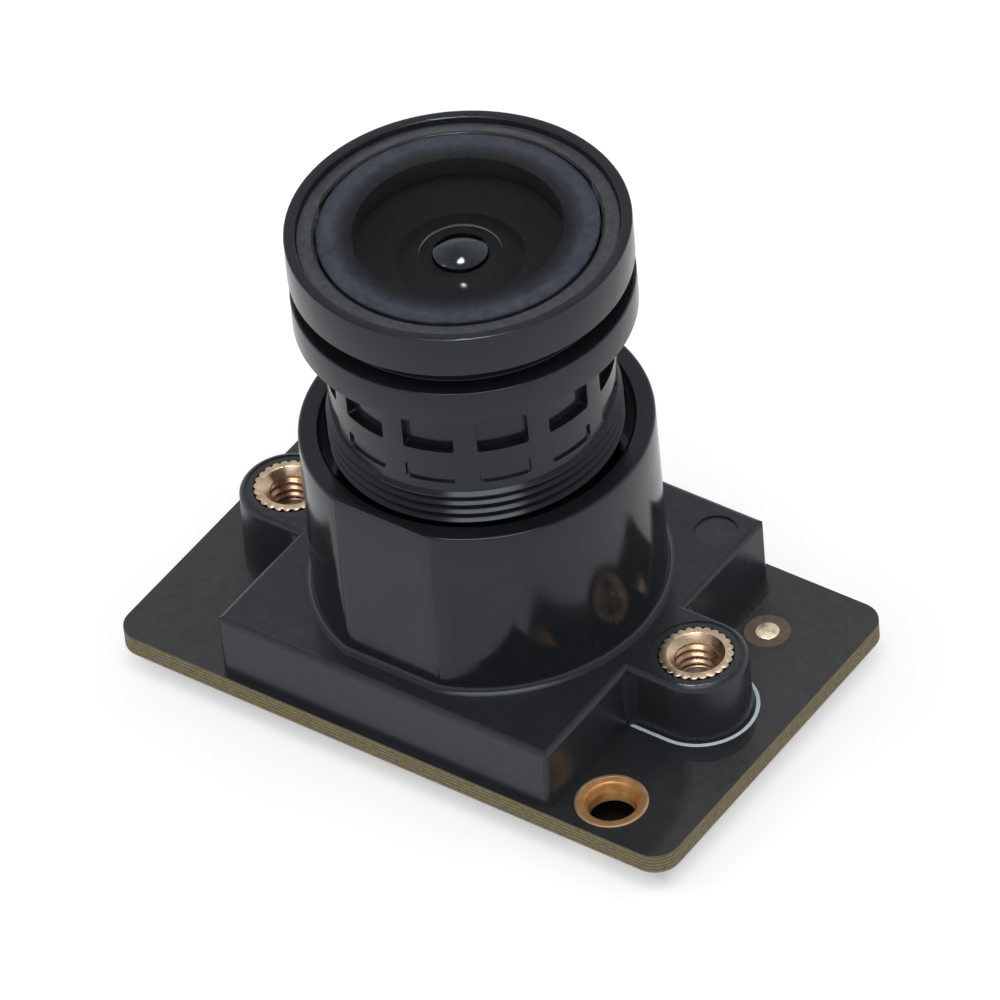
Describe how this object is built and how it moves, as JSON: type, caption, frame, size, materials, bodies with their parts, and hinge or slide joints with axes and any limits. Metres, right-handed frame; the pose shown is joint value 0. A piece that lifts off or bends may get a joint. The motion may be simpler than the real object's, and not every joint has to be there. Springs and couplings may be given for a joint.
{
  "type": "board camera module",
  "caption": "Small circuit board with a moulded tubular lens holder, brass threaded inserts and a wide-angle lens that screws in and out to focus.",
  "frame": {"origin": "on the lens axis, in the plane that the parts under the board stand on", "axes": "+Z along the lens axis towards the scene, +X along the board's length towards the visible mounting hole, -Y towards the tube's front flat"},
  "size_m": [0.0298, 0.0184, 0.0275],
  "materials": {
    "board_mask": "black solder mask over glass fibre",
    "plated_copper": "oxidised bare plating",
    "pad_gold": "flash gold",
    "holder_plastic": "moulded, satin",
    "insert_brass": "knurled, machined",
    "screw_steel": "zinc plated",
    "sensor_package": "ceramic package",
    "cover_glass": "clear",
    "filter_glass": "coated",
    "header_plastic": "moulded",
    "contact_gold": "gold plated",
    "can_metal": "metal lid",
    "chip_epoxy": "moulded epoxy",
    "capacitor_ceramic": "ceramic with tinned ends",
    "lens_black": "moulded, polished",
    "ring_black": "blackened",
    "lens_glass": "coated"
  },
  "bodies": {
    "board": {"circuit_board": "board_mask", "mounting_hole_plating": "plated_copper", "fiducial_pad": "pad_gold", "lens_holder": "holder_plastic", "threaded_inserts": "insert_brass", "holder_screws": "screw_steel", "image_sensor": "sensor_package", "sensor_glass": "cover_glass", "ir_filter": "filter_glass", "board_header": "header_plastic", "header_contacts": "contact_gold", "oscillator": "can_metal", "memory_chip": "chip_epoxy", "chip_capacitors": "capacitor_ceramic"},
    "lens_stack": {"front_element": "lens_glass", "front_spacer": "ring_black", "second_element": "lens_glass", "aperture_spacer": "ring_black", "aperture_stop": "ring_black", "third_element": "lens_glass", "rear_spacer": "ring_black", "rear_element": "lens_glass"},
    "lens_body": {"lens_barrel": "lens_black", "rear_retaining_ring": "ring_black"}
  },
  "joints": [
    {"name": "focus_travel", "type": "slide", "parent": "board", "child": "lens_stack", "axis": [0, 0, 1], "range_m": [-0.001, 0.001]},
    {"name": "focus_turn", "type": "hinge", "parent": "lens_stack", "child": "lens_body", "pos_m": [0, 0, 0.0146], "axis": [0, 0, 1], "range_deg": [-720, 720]}
  ],
  "couplings": [
    {"joint": "focus_turn", "follows": "focus_travel", "rad_per_m": 12566}
  ]
}
